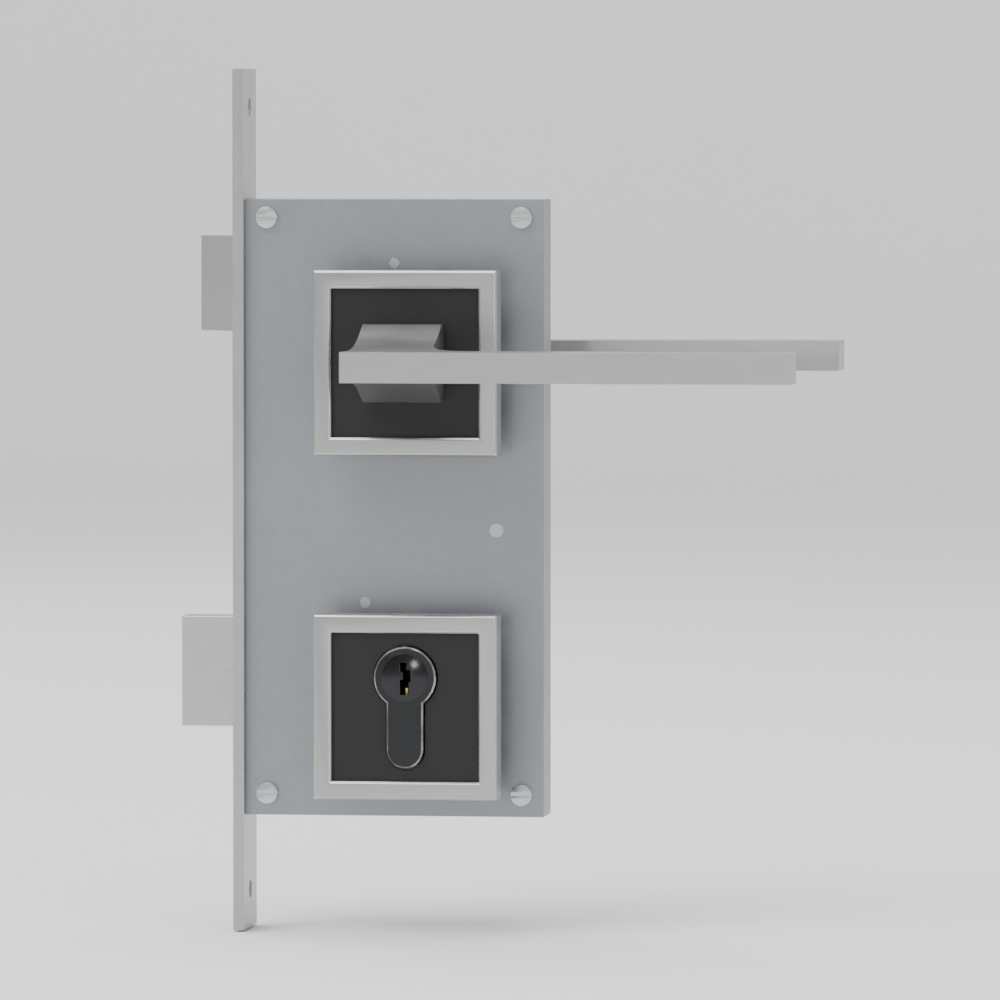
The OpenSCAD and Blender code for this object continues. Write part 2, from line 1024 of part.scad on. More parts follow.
module thumb_turn_screw() {
    color("gray")
        on_side(true, plug_z)
            translate([tang_w / 2 + run, 0, turn_base + 6])
                rotate([0, 90, 0])
                    difference() {
                        cylinder(r = 1.48, h = 3.2);
                        translate([0, 0, 1.8])
                            cylinder(r = 0.8, h = 2, $fn = 6);
                    }
}

lever(false);  // lever_outside
trim_frame(false, spindle_z);  // rose_frame_outside
rose_insert(false);  // rose_insert_outside
rose_base(false);  // rose_base_outside
lever_bush(false);  // lever_bush_outside
lever_ring(false);  // lever_ring_outside
lever_grub(false);  // lever_grub_outside
lever(true);  // lever_inside
trim_frame(true, spindle_z);  // rose_frame_inside
rose_insert(true);  // rose_insert_inside
rose_base(true);  // rose_base_inside
lever_bush(true);  // lever_bush_inside
lever_ring(true);  // lever_ring_inside
lever_grub(true);  // lever_grub_inside
spindle();
rose_bolts();
rose_sleeves();
trim_frame(false, escutcheon_z);  // escutcheon_frame_outside
escutcheon_insert(false);  // escutcheon_insert_outside
escutcheon_base(false);  // escutcheon_base_outside
escutcheon_screws(false);  // escutcheon_screws_outside
trim_frame(true, escutcheon_z);  // escutcheon_frame_inside
escutcheon_insert(true);  // escutcheon_insert_inside
escutcheon_base(true);  // escutcheon_base_inside
escutcheon_screws(true);  // escutcheon_screws_inside
forend();
forend_rivets();
case_body();
case_cover();
case_screws();
guide_pins();
latch_bolt();
latch_spring();
follower();
follower_bushes();
follower_spring();
deadbolt();
bolt_tumbler();
tumbler_spring();
cylinder_body();
outer_plug();
inner_plug();
cylinder_cam();
cam_clutch();
plug_clip(false);  // plug_clip_outside
plug_clip(true);  // plug_clip_inside
key_pins();
driver_pins();
pin_springs();
chamber_plugs();
cylinder_screw();
thumb_turn();
thumb_turn_screw();
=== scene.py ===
"""A mortise sash lock with lever handles and a profile cylinder: its finished pieces and stage."""

import json
import math

import bmesh
import bpy
from mathutils import Matrix, Vector


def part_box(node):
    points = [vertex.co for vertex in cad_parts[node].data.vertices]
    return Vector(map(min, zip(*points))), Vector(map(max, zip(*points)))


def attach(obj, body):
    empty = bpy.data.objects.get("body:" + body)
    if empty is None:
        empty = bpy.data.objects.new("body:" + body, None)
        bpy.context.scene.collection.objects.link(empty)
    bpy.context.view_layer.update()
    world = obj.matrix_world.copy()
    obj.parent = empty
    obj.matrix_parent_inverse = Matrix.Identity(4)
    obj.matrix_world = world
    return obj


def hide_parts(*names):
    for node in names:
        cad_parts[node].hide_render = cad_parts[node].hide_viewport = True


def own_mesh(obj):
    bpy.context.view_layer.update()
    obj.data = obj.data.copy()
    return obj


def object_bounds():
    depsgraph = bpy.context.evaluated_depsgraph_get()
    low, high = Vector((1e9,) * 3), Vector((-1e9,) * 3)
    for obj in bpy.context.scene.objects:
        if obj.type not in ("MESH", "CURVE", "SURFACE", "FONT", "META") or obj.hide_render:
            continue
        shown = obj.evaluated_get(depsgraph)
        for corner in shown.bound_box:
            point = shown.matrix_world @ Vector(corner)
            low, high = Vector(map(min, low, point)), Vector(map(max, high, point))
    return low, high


bl_info = {
    "name": "Mortise Sash Lock",
    "version": (1, 0, 0),
    "blender": (4, 5, 0),
    "location": "View3D > Sidebar > Sash Lock",
    "description": "Finishes the pieces of a mortise sash lock and sets its stage",
    "category": "Object",
}

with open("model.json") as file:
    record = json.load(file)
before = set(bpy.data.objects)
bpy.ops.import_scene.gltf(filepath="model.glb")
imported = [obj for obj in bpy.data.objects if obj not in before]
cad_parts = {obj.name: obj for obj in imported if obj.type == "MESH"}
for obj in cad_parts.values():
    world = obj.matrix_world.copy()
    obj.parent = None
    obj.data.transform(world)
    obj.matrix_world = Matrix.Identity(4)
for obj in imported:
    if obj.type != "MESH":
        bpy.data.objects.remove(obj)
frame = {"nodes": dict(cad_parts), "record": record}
RECORD = frame["record"]
CAD_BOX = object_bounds()
BODY_OF = {
    node: body
    for body, members in RECORD["behaviour"]["bodies"].items()
    for node in members
}
SLOT_OF = {part["node"]: part["material_slot"] for part in RECORD["subparts"]}
SIDES = ("outside", "inside")
AXES = {"x": 0, "y": 1, "z": 2}
TURN = 2 * math.pi

# Widths of the rounding along the edges of small parts
FINE_EDGE = 0.0001
SMALL_EDGE = 0.0002
CAST_EDGE = 0.00025
PLUG_EDGE = 0.00028
BAR_EDGE = 0.0003

HAIR = 0.00002  # how far a cutting shape stands off a wall or face that it leaves alone
STEM_RADIUS = 0.005  # half the width of the profile cylinder's stem
PIN_COUNT = 5
THREAD_DEPTH = 0.55  # share of a thread's pitch


# ---- Node trees ----


class Graph:
    """A node tree with short calls that add and join its nodes."""

    def __init__(self, tree):
        self.tree = tree

    def add(self, kind, inputs=None, **settings):
        """Adds a node, sets its properties, and joins or sets its inputs."""
        node = self.tree.nodes.new(kind)
        for key, value in settings.items():
            setattr(node, key, value)
        for key, value in (inputs or {}).items():
            self.feed(node.inputs[key], value)
        return node

    def feed(self, socket, value):
        """Joins a socket to another, or sets its value."""
        if isinstance(value, bpy.types.NodeSocket):
            self.tree.links.new(value, socket)
        else:
            socket.default_value = value

    def math(self, operation, a, b=0.0, clamp=False):
        """One sum of two values."""
        node = self.add("ShaderNodeMath", {0: a, 1: b}, operation=operation)
        node.use_clamp = clamp
        return node.outputs[0]

    def spread(self, value, low, high, start, end):
        """Maps a value from one range to another and holds it there."""
        node = self.add(
            "ShaderNodeMapRange",
            {"Value": value, "From Min": low, "From Max": high, "To Min": start, "To Max": end},
        )
        return node.outputs["Result"]


# ---- Finishes ----


def noise(graph, vector, scale, stretch=(1, 1, 1), turn=(0, 0, 0), detail=3.0):
    """Cloudy noise in object space, drawn out along an axis by its stretch."""
    mapped = graph.add(
        "ShaderNodeMapping", {"Vector": vector, "Scale": stretch, "Rotation": turn}
    )
    node = graph.add(
        "ShaderNodeTexNoise",
        {"Vector": mapped.outputs[0], "Scale": scale, "Detail": detail, "Roughness": 0.6},
    )
    return node.outputs["Fac"]


def start_material(name, metallic, specular=0.5):
    """A new material's graph, its shader and the object coordinates."""
    material = bpy.data.materials.new(name)
    material.use_nodes = True
    graph = Graph(material.node_tree)
    shader = material.node_tree.nodes["Principled BSDF"]
    shader.inputs["Metallic"].default_value = metallic
    shader.inputs["Specular IOR Level"].default_value = specular
    coords = graph.add("ShaderNodeTexCoord").outputs["Object"]
    return material, graph, shader, coords


def tinted(graph, shader, colour, share, strength):
    """Varies the base colour lighter and darker by a share from 0 to 1."""
    dark = [c * (1 - strength) for c in colour[:3]] + [1]
    light = [min(1.0, c * (1 + strength)) for c in colour[:3]] + [1]
    mix = graph.add(
        "ShaderNodeMix", {"Factor": share}, data_type="RGBA", blend_type="MIX"
    )
    mix.inputs["A"].default_value = dark
    mix.inputs["B"].default_value = light
    graph.feed(shader.inputs["Base Color"], mix.outputs["Result"])
    return mix


def edge_share(graph):
    """1 on rounded and chamfered edges, and 0 elsewhere."""
    return graph.add("ShaderNodeAttribute", attribute_name="edge").outputs["Fac"]


SCRATCH = 0.05  # how much rougher a hairline scratch is than the metal round it
WEAR = 0.5  # how far rubbed edges are polished and lightened


def metal(name, colour, rough, grain=(1, 1, 1), grain_scale=900.0, depth=0.02, cloud=0.06,
          metallic=1.0, specular=0.5, tint=0.10, bare_rim_highlight=None):
    """A metal with drawn-out grain, cloudy polish, hairline scratches and worn edges.

    A dark plating shows the unplated metal's colour along its worn edges, which also paints a
    highlight along its rims.
    """
    material, graph, shader, coords = start_material(name, metallic, specular)
    fine = noise(graph, coords, grain_scale, grain, detail=4.0)
    polish = noise(graph, coords, 45.0, detail=5.0)
    hair = noise(graph, coords, 420.0, (1, 14, 14), (0.3, 0.5, 0.9), 1.0)
    hairline = graph.spread(hair, 0.64, 0.68, 0.0, 1.0)
    grained = graph.math("MULTIPLY_ADD", fine, depth * 8)
    grained.node.inputs[2].default_value = rough - depth * 4 - cloud
    cloudy = graph.math("MULTIPLY_ADD", polish, 2 * cloud)
    graph.feed(cloudy.node.inputs[2], grained)
    scratched = graph.math("MULTIPLY_ADD", hairline, SCRATCH)
    graph.feed(scratched.node.inputs[2], cloudy)
    rub_and_rim_highlight = graph.math("MULTIPLY", edge_share(graph), graph.spread(polish, 0.4, 0.6, 0.3, 1.0))
    worn = graph.math("MULTIPLY_ADD", rub_and_rim_highlight, -WEAR * rough)
    graph.feed(worn.node.inputs[2], scratched)
    graph.feed(shader.inputs["Roughness"], graph.math("MAXIMUM", worn, 0.06, clamp=True))
    tone = graph.math("MULTIPLY_ADD", graph.math("ADD", fine, polish), 0.5)
    graph.feed(tone.node.inputs[2], graph.math("MULTIPLY", rub_and_rim_highlight, 2 * WEAR))
    plated = tinted(graph, shader, colour, tone, tint)
    # The unplated colour at worn edges is wear and also a painted highlight along the rims.
    if bare_rim_highlight:
        shown = graph.add(
            "ShaderNodeMix", {"Factor": rub_and_rim_highlight, "A": plated.outputs["Result"]},
            data_type="RGBA", blend_type="MIX",
        )
        shown.inputs["B"].default_value = (*bare_rim_highlight[:3], 1)
        graph.feed(shader.inputs["Base Color"], shown.outputs["Result"])
    height = graph.math("MULTIPLY_ADD", hairline, -0.35)
    graph.feed(height.node.inputs[2], fine)
    bump = graph.add(
        "ShaderNodeBump", {"Height": height, "Strength": 0.25, "Distance": depth * 0.001}
    )
    graph.feed(shader.inputs["Normal"], bump.outputs[0])
    return material


def plastic(name, colour, rough):
    """A moulded plastic with a faint flow pattern and fine skin."""
    material, graph, shader, coords = start_material(name, 0.0)
    skin = noise(graph, coords, 2200.0, detail=3.0)
    flow = noise(graph, coords, 60.0, (1, 2, 1), detail=4.0)
    value = graph.math("MULTIPLY_ADD", skin, 0.16)
    value.node.inputs[2].default_value = rough - 0.08
    graph.feed(shader.inputs["Roughness"], value)
    tinted(graph, shader, colour, flow, 0.07)
    bump = graph.add("ShaderNodeBump", {"Height": skin, "Strength": 0.2, "Distance": 0.00003})
    graph.feed(shader.inputs["Normal"], bump.outputs[0])
    shader.inputs["Subsurface Weight"].default_value = 0.08
    shader.inputs["Subsurface Radius"].default_value = (0.002, 0.0015, 0.001)
    return material


ALONG_X = (0.05, 1, 1)
ALONG_Y = (1, 0.05, 1)
ALONG_Z = (1, 1, 0.05)


def make_finishes(finish):
    """Every finish of the lock, by the record's slot name."""
    nickel, black = tuple(finish.nickel), tuple(finish.black)
    return {
        "satin_nickel": metal("Satin nickel", nickel, 0.34, ALONG_X, depth=0.016),
        "black_insert": metal(
            "Black insert", black, 0.40, depth=0.010, cloud=0.05, metallic=0.5, specular=0.4,
        ),
        "base_zinc": metal("Cast zinc", (0.40, 0.41, 0.42), 0.52, grain_scale=500.0, depth=0.05),
        "nylon": plastic("Nylon", (0.78, 0.77, 0.72), 0.45),
        "case_steel": metal(
            "Zinc plate", tuple(finish.steel), 0.42, grain_scale=260.0, depth=0.018, cloud=0.12,
            tint=0.16,
        ),
        "forend_steel": metal("Brushed forend", nickel, 0.33, ALONG_Z, depth=0.022),
        "bolt_nickel": metal(
            "Nickel bolt", (0.47, 0.465, 0.455), 0.28, ALONG_X, 1500.0, depth=0.006, tint=0.06,
        ),
        "screw_steel": metal("Zinc screw", (0.50, 0.51, 0.52), 0.32, depth=0.02),
        "black_screw": metal("Black oxide", (0.05, 0.05, 0.055), 0.42, metallic=0.7),
        "spring_steel": metal("Spring wire", (0.32, 0.32, 0.33), 0.30, depth=0.01),
        "spindle_steel": metal("Drawn steel", (0.42, 0.43, 0.44), 0.33, ALONG_Y, depth=0.025),
        "follower_zinc": metal("Passivated zinc", (0.52, 0.47, 0.34), 0.45, cloud=0.12),
        # The cylinder and plug show unplated nickel on their worn rims: wear, and a painted highlight
        # along the chamfers.
        "cylinder_nickel": metal(
            "Cylinder black nickel", tuple(finish.cylinder), 0.30, depth=0.008, cloud=0.05,
            metallic=0.8, bare_rim_highlight=nickel,
        ),
        "plug_nickel": metal(
            "Plug black nickel", tuple(finish.plug), 0.11, depth=0.003, cloud=0.02, bare_rim_highlight=nickel,
        ),
        "pin_brass": metal("Pin brass", tuple(finish.brass), 0.24, depth=0.01),
        "cam_steel": metal(
            "Sintered steel", (0.30, 0.295, 0.29), 0.5, grain_scale=1500.0, depth=0.05,
        ),
    }


FINISHES = {}


def finish_of(node):
    """The material of a CAD node's slot."""
    if not FINISHES:
        FINISHES.update(make_finishes(bpy.context.scene.lock_finish))
    return FINISHES[SLOT_OF[node]]


# ---- Mesh work ----


def link(name, mesh):
    """An object at the origin that holds a mesh."""
    thing = bpy.data.objects.new(name, mesh)
    bpy.context.scene.collection.objects.link(thing)
    return thing


def baked(thing, name):
    """The evaluated mesh of an object, which is then removed."""
    graph = bpy.context.evaluated_depsgraph_get()
    mesh = bpy.data.meshes.new_from_object(thing.evaluated_get(graph))
    mesh.name = name
    old = thing.data
    bpy.data.objects.remove(thing)
    bpy.data.meshes.remove(old)
    return mesh


def shade(mesh, angle=32.0):
    """Smooth shading with edges kept sharp past an angle."""
    mesh.shade_smooth()
    mesh.set_sharp_from_angle(angle=math.radians(angle))
    return mesh


def from_bmesh(bm, name, outward=True):
    """Turns a bmesh into a mesh with its normals outward."""
    if outward:
        bmesh.ops.recalc_face_normals(bm, faces=bm.faces)
    mesh = bpy.data.meshes.new(name)
    bm.to_mesh(mesh)
    bm.free()
    return mesh


def node_copy(node):
    """A CAD node's mesh with its seams joined and its flat faces whole."""
    bm = bmesh.new()
    bm.from_mesh(frame["nodes"][node].data)
    bmesh.ops.remove_doubles(bm, verts=bm.verts, dist=1e-6)
    bmesh.ops.dissolve_limit(
        bm, angle_limit=math.radians(1.0), verts=bm.verts, edges=bm.edges
    )
    return from_bmesh(bm, node, outward=False)


def softened(mesh, width, segments=3, angle=32.0, harden=True):
    """A mesh with its sharp edges rounded over.

    The rounding's faces come out in the second material slot, which turns into the edge share.
    """
    thing = link(mesh.name, mesh)
    bevel = thing.modifiers.new("Edges", "BEVEL")
    bevel.width = width
    bevel.segments = segments
    bevel.limit_method = "ANGLE"
    bevel.angle_limit = math.radians(angle)
    bevel.harden_normals = harden
    mesh.materials.clear()
    mesh.materials.append(None)
    mesh.materials.append(None)
    bevel.material = 1
    shade(mesh, angle)
    done = baked(thing, mesh.name)
    edge = done.attributes.new("edge", "FLOAT", "FACE")
    for polygon in done.polygons:
        edge.data[polygon.index].value = polygon.material_index
        polygon.material_index = 0
    return done


def combined(mesh, other, operation):
    """A mesh after a boolean operation with another one, which is used up."""
    thing, tool = link(mesh.name, mesh), link("Tool", other)
    boolean = thing.modifiers.new("Boolean", "BOOLEAN")
    boolean.object = tool
    boolean.operation = operation
    boolean.solver = "EXACT"
    result = baked(thing, mesh.name)
    bpy.data.objects.remove(tool)
    bpy.data.meshes.remove(other)
    return result


def joined(name, *meshes):
    """One mesh that holds all the shells of several."""
    bm = bmesh.new()
    for mesh in meshes:
        bm.from_mesh(mesh)
        bpy.data.meshes.remove(mesh)
    return shade(from_bmesh(bm, name, outward=False))


def lathe(name, outline, segments=64):
    """A solid turned round z from (radius, height) pairs that start and end on the axis."""
    bm = bmesh.new()
    rows = []
    for radius, height in outline:
        count = segments if radius > 0 else 1
        rows.append([
            bm.verts.new((
                radius * math.cos(TURN * i / segments), radius * math.sin(TURN * i / segments), height
            ))
            for i in range(count)
        ])
    for first, second in zip(rows, rows[1:]):
        for i in range(segments):
            j = (i + 1) % segments
            corners = [
                first[i % len(first)], first[j % len(first)],
                second[j % len(second)], second[i % len(second)],
            ]
            bm.faces.new(list(dict.fromkeys(corners)))
    return from_bmesh(bm, name)


def rounded_box(name, low, high, radius, segments=5):
    """A box between two corners with its edges rounded over."""
    bm = bmesh.new()
    bmesh.ops.create_cube(bm, size=1.0)
    size, middle = Vector(high) - Vector(low), (Vector(high) + Vector(low)) / 2
    bmesh.ops.scale(bm, vec=size, verts=bm.verts)
    bmesh.ops.translate(bm, vec=middle, verts=bm.verts)
    bmesh.ops.bevel(
        bm, geom=bm.edges[:], offset=radius, segments=segments, profile=0.5, affect="EDGES"
    )
    return from_bmesh(bm, name)


def add_piece(name, mesh, *nodes):
    """Puts a finished mesh in place of its CAD nodes."""
    first = nodes[0]
    mesh.materials.clear()
    mesh.materials.append(finish_of(first))
    piece = link(name, mesh)
    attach(piece, BODY_OF[first])
    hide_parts(*nodes)
    return piece


def soften_nodes(nodes, width, segments=3):
    """Replaces CAD nodes with copies whose edges are rounded over."""
    for node in nodes:
        add_piece(node + "_finished", softened(node_copy(node), width, segments), node)


def both(*names):
    """Node names on both sides of the door."""
    return [name + "_" + side for name in names for side in SIDES]


def stand_along(axis, place):
    """Matrix that takes local z to an axis of the lock and the origin to a place."""
    turns = {"x": (TURN / 4, "Y"), "y": (-TURN / 4, "X"), "z": (0.0, "Z")}
    angle, about = turns[axis]
    return Matrix.Translation(place) @ Matrix.Rotation(angle, 4, about)


# ---- Trees that repeat or follow a path ----


def start_tree(name, inputs):
    """A new Geometry Nodes tree with named inputs, its graph and its group inputs."""
    tree = bpy.data.node_groups.new(name, "GeometryNodeTree")
    tree.interface.new_socket("Geometry", in_out="INPUT", socket_type="NodeSocketGeometry")
    tree.interface.new_socket("Geometry", in_out="OUTPUT", socket_type="NodeSocketGeometry")
    for label, kind, value in inputs:
        socket = tree.interface.new_socket(label, in_out="INPUT", socket_type="NodeSocket" + kind)
        socket.default_value = value
    tree.interface.new_socket("Material", in_out="INPUT", socket_type="NodeSocketMaterial")
    graph = Graph(tree)
    return graph, graph.add("NodeGroupInput").outputs


def end_tree(graph, given, geometry):
    """Closes a tree with real geometry, its material and its output."""
    real = graph.add("GeometryNodeRealizeInstances", {0: geometry})
    painted = graph.add(
        "GeometryNodeSetMaterial", {"Geometry": real.outputs[0], "Material": given["Material"]}
    )
    graph.add("NodeGroupOutput", {0: painted.outputs[0]})
    return graph.tree


def sweep(graph, curve, sides, radius):
    """A bar of a few sides along a curve, with closed ends."""
    outline = graph.add(
        "GeometryNodeCurvePrimitiveCircle", {"Resolution": sides, "Radius": radius}
    )
    swept = graph.add(
        "GeometryNodeCurveToMesh",
        {"Curve": curve, "Profile Curve": outline.outputs[0], "Fill Caps": True},
    )
    return swept.outputs[0]


def coil_tree():
    """A compression spring with closed ends that stands along z."""
    graph, given = start_tree("Coil", (
        ("Length", "Float", 0.02), ("Radius", "Float", 0.003), ("Wire", "Float", 0.0005),
        ("Turns", "Float", 9.0), ("Closed turns", "Float", 1.0), ("Steps a turn", "Int", 32),
        ("Sides", "Int", 12),
    ))
    turns, wire, ends = given["Turns"], given["Wire"], given["Closed turns"]
    line = graph.add("GeometryNodeCurvePrimitiveLine")
    points = graph.add(
        "GeometryNodeResampleCurve",
        {"Curve": line.outputs[0], "Count": graph.math("MULTIPLY", turns, given["Steps a turn"])},
    )
    along = graph.add("GeometryNodeSplineParameter").outputs["Factor"]
    angle = graph.math("MULTIPLY", graph.math("MULTIPLY", along, turns), TURN)
    share = graph.math("DIVIDE", ends, turns)
    closed = graph.math("MULTIPLY", graph.math("MULTIPLY", wire, 2.0), ends)
    first = graph.math("DIVIDE", along, share, clamp=True)
    rest = graph.math("SUBTRACT", along, graph.math("SUBTRACT", 1.0, share))
    last = graph.math("DIVIDE", rest, share, clamp=True)
    spread = graph.math("SUBTRACT", 1.0, graph.math("MULTIPLY", share, 2.0))
    middle = graph.math("DIVIDE", graph.math("SUBTRACT", along, share), spread, clamp=True)
    solid = graph.math("MULTIPLY", graph.math("ADD", wire, closed), 2.0)
    free = graph.math("SUBTRACT", given["Length"], solid)
    height = graph.math("ADD", wire, graph.math("MULTIPLY", closed, graph.math("ADD", first, last)))
    height = graph.math("ADD", height, graph.math("MULTIPLY", free, middle))
    place = graph.add("ShaderNodeCombineXYZ", {
        0: graph.math("MULTIPLY", given["Radius"], graph.math("COSINE", angle)),
        1: graph.math("MULTIPLY", given["Radius"], graph.math("SINE", angle)),
        2: height,
    })
    coil = graph.add(
        "GeometryNodeSetPosition", {"Geometry": points.outputs[0], "Position": place.outputs[0]}
    )
    return end_tree(graph, given, sweep(graph, coil.outputs[0], given["Sides"], wire))


def thread_tree():
    """A screw thread that climbs z from each point given."""
    graph, given = start_tree("Thread", (
        ("Length", "Float", 0.01), ("Outer radius", "Float", 0.002), ("Pitch", "Float", 0.0007),
        ("Depth", "Float", 0.0004), ("Steps a turn", "Int", 24), ("Seed", "Int", 3),
    ))
    rise = graph.math("MULTIPLY", given["Depth"], 0.74)
    centre = graph.math("SUBTRACT", given["Outer radius"], rise)
    spiral = graph.add("GeometryNodeCurveSpiral", {
        "Resolution": given["Steps a turn"], "Start Radius": centre, "End Radius": centre,
        "Rotations": graph.math("DIVIDE", given["Length"], given["Pitch"]),
        "Height": given["Length"],
    })
    upright = graph.add(
        "GeometryNodeSetCurveNormal", {"Curve": spiral.outputs[0]}, mode="Z_UP"
    )
    ridge = sweep(graph, upright.outputs[0], 3, rise)
    turn = graph.add("FunctionNodeRandomValue", data_type="FLOAT_VECTOR")
    turn.inputs["Min"].default_value = (0, 0, 0)
    turn.inputs["Max"].default_value = (0, 0, TURN)
    graph.feed(turn.inputs["Seed"], given["Seed"])
    threads = graph.add("GeometryNodeInstanceOnPoints", {
        "Points": given["Geometry"], "Instance": ridge, "Rotation": turn.outputs["Value"],
    })
    return end_tree(graph, given, threads.outputs[0])


def row_tree():
    """A piece repeated at an even step."""
    graph, given = start_tree("Row", (("Count", "Int", 5), ("Step", "Vector", (0, 0.004, 0))))
    line = graph.add("GeometryNodeMeshLine", {"Count": given["Count"], "Offset": given["Step"]})
    pieces = graph.add(
        "GeometryNodeInstanceOnPoints",
        {"Points": line.outputs[0], "Instance": given["Geometry"]},
    )
    return end_tree(graph, given, pieces.outputs[0])


TREES = {"Coil": coil_tree, "Thread": thread_tree, "Row": row_tree}


def grown(label, finish, values, mesh=None):
    """The baked mesh of one of the trees, with its inputs set by name."""
    tree = bpy.data.node_groups.get(label) or TREES[label]()
    thing = link(label, mesh or bpy.data.meshes.new(label))
    modifier = thing.modifiers.new(label, "NODES")
    modifier.node_group = tree
    values = dict(values, Material=finish)
    for socket in tree.interface.items_tree:
        if socket.in_out == "INPUT" and socket.name in values:
            modifier[socket.identifier] = values[socket.name]
    return baked(thing, label)


def spring_mesh(node, axis, wire, turns, count=1):
    """A spring that fills a CAD node's box; several stand in a row along y."""
    low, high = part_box(node)
    size = high - low
    width = min(size)
    coil = {"Length": size[AXES[axis]], "Radius": width / 2 - wire, "Wire": wire, "Turns": turns}
    mesh = grown("Coil", finish_of(node), coil)
    if count > 1:
        step = (size.y - width) / (count - 1)
        mesh = grown("Row", finish_of(node), {"Count": count, "Step": (0, step, 0)}, mesh)
        start = Vector((low.x + width / 2, low.y + width / 2, low.z))
    else:
        start = (low + high) / 2
        start[AXES[axis]] = low[AXES[axis]]
    mesh.transform(stand_along(axis, start))
    return shade(mesh, 50.0)


def islands(bm):
    """The separate shells of a mesh, each as a list of vertices, in the mesh's own order."""
    left, found = set(bm.verts), []
    for first in bm.verts:
        if first not in left:
            continue
        left.remove(first)
        heap, shell = [first], []
        while heap:
            vert = heap.pop()
            shell.append(vert)
            for edge in vert.link_edges:
                other = edge.other_vert(vert)
                if other in left:
                    left.remove(other)
                    heap.append(other)
        found.append(shell)
    return found


def threaded(node, axis, radius, pitch, margins):
    """A screw's CAD copy with a real thread; margins are its distances from the two ends."""
    depth = THREAD_DEPTH * pitch
    bm = bmesh.new()
    bm.from_mesh(softened(node_copy(node), FINE_EDGE, 2, harden=False))
    back = stand_along(axis, Vector((0, 0, 0))).inverted()
    bmesh.ops.transform(bm, matrix=back, verts=bm.verts)
    heights = [vert.co.z for vert in bm.verts]
    start, end = min(heights) + margins[0], max(heights) - margins[1]
    for height in (start, end):
        bmesh.ops.bisect_plane(
            bm, geom=bm.verts[:] + bm.edges[:] + bm.faces[:], plane_co=(0, 0, height),
            plane_no=(0, 0, 1),
        )
    centres = []
    for shell in islands(bm):
        xs, ys = [v.co.x for v in shell], [v.co.y for v in shell]
        middle = Vector(((min(xs) + max(xs)) / 2, (min(ys) + max(ys)) / 2, start))
        centres.append(middle)
        for vert in shell:
            out = (vert.co - middle).xy
            inside = start - 1e-6 <= vert.co.z <= end + 1e-6
            if inside and out.length > radius - depth:
                out *= (radius - depth) / out.length
                vert.co.x, vert.co.y = middle.x + out.x, middle.y + out.y
    points = bpy.data.meshes.new("Starts")
    points.from_pydata(centres, [], [])
    thread = grown("Thread", finish_of(node), {
        "Length": end - start, "Outer radius": radius, "Pitch": pitch, "Depth": depth,
    }, points)
    mesh = joined(node, from_bmesh(bm, node, outward=False), thread)
    mesh.transform(back.inverted())
    return mesh


# ---- Stage ----


FLOOR_BEND = 2.0  # radius of the curve from the floor into its wall
FLOOR_GAP = 0.0005  # from the forend's lower end down to the floor

# Name, place, width and height, and share of the main light's power
LIGHTS = (
    ("Key", (-0.9, -1.5, 1.6), (1.4, 1.0), 1.0),
    ("Fill", (1.6, -1.6, 0.7), (1.6, 1.6), 0.45),
    ("Top", (0.1, 0.1, 1.9), (1.6, 1.6), 1.05),
    ("Rim", (-1.2, 1.3, 0.9), (1.0, 1.2), 0.4),
    ("Glint", (-0.05, -2.2, 0.11), (0.085, 0.085), 0.025),
)


def area_light(name, place, target, size, power):
    """A soft rectangular light that looks at a point."""
    data = bpy.data.lights.new(name, "AREA")
    data.shape = "RECTANGLE"
    data.size, data.size_y = size
    data.energy = power
    light = bpy.data.objects.new(name, data)
    bpy.context.scene.collection.objects.link(light)
    light.location = place
    light.rotation_euler = (Vector(target) - Vector(place)).to_track_quat("-Z", "Y").to_euler()


def add_sky(power):
    """An even light from above, and a pale world round it."""
    sun = bpy.data.lights.new("Sky", "SUN")
    sun.energy, sun.angle = power, 1.4
    sky = bpy.data.objects.new("Sky", sun)
    sky.rotation_euler = (math.radians(38), 0, math.radians(-22))
    bpy.context.scene.collection.objects.link(sky)
    world = bpy.data.worlds.new("World")
    world.use_nodes = True
    background = world.node_tree.nodes["Background"]
    background.inputs["Color"].default_value = (0.92, 0.95, 1.0, 1)
    background.inputs["Strength"].default_value = 0.45
    bpy.context.scene.world = world


def add_camera(stage, centre, reach):
    """The camera, on its bearing and at its distance from the lock."""
    turn, rise = stage.azimuth, stage.elevation
    back = Vector(
        (math.sin(turn) * math.cos(rise), -math.cos(turn) * math.cos(rise), math.sin(rise))
    )
    data = bpy.data.cameras.new("Camera")
    camera = bpy.data.objects.new("Camera", data)
    bpy.context.scene.collection.objects.link(camera)
    camera.location = centre + back * stage.distance
    camera.rotation_mode = "QUATERNION"
    camera.rotation_quaternion = (-back).to_track_quat("-Z", "Y")
    data.sensor_width = 36.0
    data.lens = data.sensor_width / 2 * stage.distance / (reach * stage.margin)
    data.clip_start, data.clip_end = 0.01, 50.0
    bpy.context.scene.camera = camera


def round_floor(stage, centre, low):
    """A pale round floor that curves up all round the lock."""
    far, bend, steps = stage.floor_radius, FLOOR_BEND, 24
    outline = [(0, 0), (far / 4, 0), (far - bend, 0)]
    for i in range(1, steps + 1):
        angle = TURN / 4 * i / steps
        outline.append((far - bend + bend * math.sin(angle), bend * (1 - math.cos(angle))))
    outline.append((far, bend * 1.2))
    mesh = shade(lathe("floor", outline, 96), 60.0)
    if mesh.polygons[0].normal.z < 0:
        mesh.flip_normals()
    mesh.transform(Matrix.Translation((centre.x, centre.y, low)))
    material, graph, shader, coords = start_material("Pale floor", 0.0)
    shader.inputs["Roughness"].default_value = 0.6
    tinted(graph, shader, tuple(stage.floor_colour), noise(graph, coords, 3.0), 0.01)
    mesh.materials.append(material)
    floor = link("floor", mesh)


# ---- User settings ----


